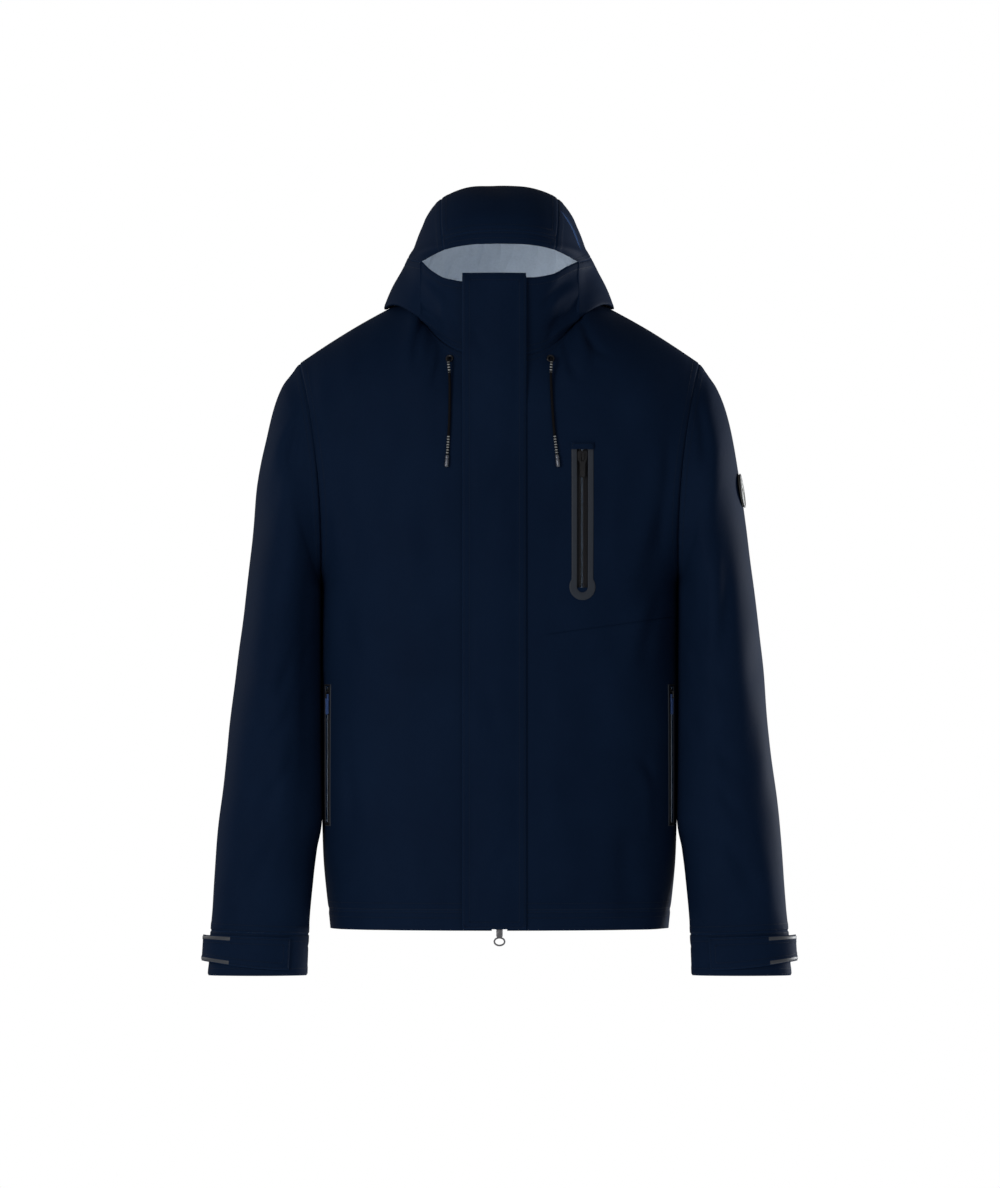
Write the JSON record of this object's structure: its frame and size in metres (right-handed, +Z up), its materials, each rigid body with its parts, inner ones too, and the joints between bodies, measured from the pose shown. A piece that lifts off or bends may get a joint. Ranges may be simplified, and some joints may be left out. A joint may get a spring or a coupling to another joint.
{
  "type": "foul weather jacket",
  "caption": "Hooded waterproof sailing jacket, worn shape, hood up, storm flap closed over a two-way zip, cuff tabs fastened.",
  "frame": {"origin": "seat of the hang loop: the middle of the underside of its top run, inside the back of the neck", "axes": "+Z up along the wearer, +X to the wearer's left, -Y out of the front"},
  "size_m": [0.6902, 0.2667, 0.9183],
  "materials": {
    "shell_navy": "matte woven laminate",
    "lining_grey": "matte light grey backing",
    "welt_grey": "matte bonded dark grey",
    "tape_black": "woven black tape and coil",
    "plastic_black": "moulded black",
    "metal_dark": "dark nickel",
    "pull_blue": "bright blue moulded",
    "tip_grey": "satin grey",
    "badge_rubber": "matte moulded"
  },
  "bodies": {
    "jacket": {"right_front_panel": "shell_navy", "left_front_panel": "shell_navy", "back_panel": "shell_navy", "right_collar": "shell_navy", "left_collar": "shell_navy", "hood_skirt": "shell_navy", "chest_zip_garage": "shell_navy", "inner_wind_flap": "lining_grey", "chest_pocket_bag": "lining_grey", "right_hand_pocket_bag": "lining_grey", "left_hand_pocket_bag": "lining_grey", "chest_zip_welt": "welt_grey", "right_hand_zip_welt": "welt_grey", "left_hand_zip_welt": "welt_grey", "main_zip_right": "tape_black", "main_zip_left": "tape_black", "chest_zip_tape": "tape_black", "right_hand_zip_tape": "tape_black", "left_hand_zip_tape": "tape_black", "flap_loop_tape": "tape_black", "right_hood_cord": "tape_black", "left_hood_cord": "tape_black", "hang_loop": "tape_black", "right_cord_eyelet": "metal_dark", "left_cord_eyelet": "metal_dark", "right_cord_tip": "tip_grey", "left_cord_tip": "tip_grey"},
    "storm_flap": {"storm_flap": "shell_navy", "flap_hook_tape": "tape_black"},
    "main_top_slider": {"main_zip_top_slider": "plastic_black", "main_zip_top_puller": "plastic_black"},
    "main_bottom_slider": {"main_zip_bottom_slider": "metal_dark"},
    "main_bottom_puller": {"main_zip_bottom_puller": "metal_dark"},
    "chest_slider": {"chest_zip_slider": "plastic_black"},
    "chest_puller": {"chest_zip_puller": "plastic_black"},
    "right_hand_slider": {"right_hand_zip_slider": "plastic_black"},
    "right_hand_puller": {"right_hand_zip_puller": "pull_blue"},
    "left_hand_slider": {"left_hand_zip_slider": "plastic_black"},
    "left_hand_puller": {"left_hand_zip_puller": "pull_blue"},
    "right_sleeve": {"right_sleeve_upper": "shell_navy", "right_sleeve_under": "shell_navy", "right_cuff": "shell_navy", "right_cuff_strap": "shell_navy", "right_cuff_loop_patch": "tape_black"},
    "left_sleeve": {"left_sleeve_upper": "shell_navy", "left_sleeve_under": "shell_navy", "left_cuff": "shell_navy", "left_cuff_strap": "shell_navy", "left_cuff_loop_patch": "tape_black", "sleeve_badge": "badge_rubber"},
    "right_cuff_tab": {"right_cuff_tab": "shell_navy", "right_cuff_tab_end": "welt_grey"},
    "left_cuff_tab": {"left_cuff_tab": "shell_navy", "left_cuff_tab_end": "welt_grey"},
    "hood": {"hood_crown": "shell_navy", "hood_brim_stiffener": "lining_grey", "right_hood_side": "shell_navy", "left_hood_side": "shell_navy"}
  },
  "joints": [
    {"name": "flap_open", "type": "hinge", "parent": "jacket", "child": "storm_flap", "pos_m": [0.031, -0.17762, -0.03331], "axis": [0, 0.04, 0.9992], "range_deg": [0, 150]},
    {"name": "main_top_slide", "type": "slide", "parent": "jacket", "child": "main_top_slider", "axis": [0, -0.04, -0.9992], "range_m": [0, 0.45]},
    {"name": "main_bottom_slide", "type": "slide", "parent": "jacket", "child": "main_bottom_slider", "axis": [0, 0.04, 0.9992], "range_m": [0, 0.22]},
    {"name": "main_bottom_puller_swing", "type": "hinge", "parent": "main_bottom_slider", "child": "main_bottom_puller", "pos_m": [0, -0.20445, -0.74037], "axis": [-1, 0, 0], "range_deg": [0, 8]},
    {"name": "chest_slide", "type": "slide", "parent": "jacket", "child": "chest_slider", "axis": [0, -0.0151, -0.9999], "range_m": [0, 0.125]},
    {"name": "chest_puller_swing", "type": "hinge", "parent": "chest_slider", "child": "chest_puller", "pos_m": [0.09581, -0.17798, -0.20439], "axis": [-0.989, -0.1482, 0.0022], "range_deg": [0, 110]},
    {"name": "right_hand_slide", "type": "slide", "parent": "jacket", "child": "right_hand_slider", "axis": [0, 0.0053, -1], "range_m": [0, 0.123]},
    {"name": "right_hand_puller_swing", "type": "hinge", "parent": "right_hand_slider", "child": "right_hand_puller", "pos_m": [-0.1997, -0.11119, -0.4794], "axis": [-0.3589, 0.9334, 0.005], "range_deg": [0, 20]},
    {"name": "left_hand_slide", "type": "slide", "parent": "jacket", "child": "left_hand_slider", "axis": [0, 0.0053, -1], "range_m": [0, 0.123]},
    {"name": "left_hand_puller_swing", "type": "hinge", "parent": "left_hand_slider", "child": "left_hand_puller", "pos_m": [0.1997, -0.11119, -0.4794], "axis": [-0.3589, -0.9334, -0.005], "range_deg": [0, 20]},
    {"name": "right_sleeve_swing", "type": "hinge", "parent": "jacket", "child": "right_sleeve", "pos_m": [-0.232, -0.0671, -0.0954], "axis": [0, 1, 0], "range_deg": [0, 30]},
    {"name": "left_sleeve_swing", "type": "hinge", "parent": "jacket", "child": "left_sleeve", "pos_m": [0.232, -0.0671, -0.0954], "axis": [0, -1, 0], "range_deg": [0, 30]},
    {"name": "right_tab_open", "type": "hinge", "parent": "right_sleeve", "child": "right_cuff_tab", "pos_m": [-0.3219, -0.131, -0.77425], "axis": [0.0594, -0.0139, 0.9981], "range_deg": [0, 70]},
    {"name": "left_tab_open", "type": "hinge", "parent": "left_sleeve", "child": "left_cuff_tab", "pos_m": [0.3219, -0.131, -0.77425], "axis": [0.0594, 0.0139, -0.9981], "range_deg": [0, 70]},
    {"name": "hood_tilt", "type": "hinge", "parent": "jacket", "child": "hood", "pos_m": [0, -0.0821, 0.0066], "axis": [-1, 0, 0], "range_deg": [0, 20], "deforming": ["hood_skirt"]}
  ]
}
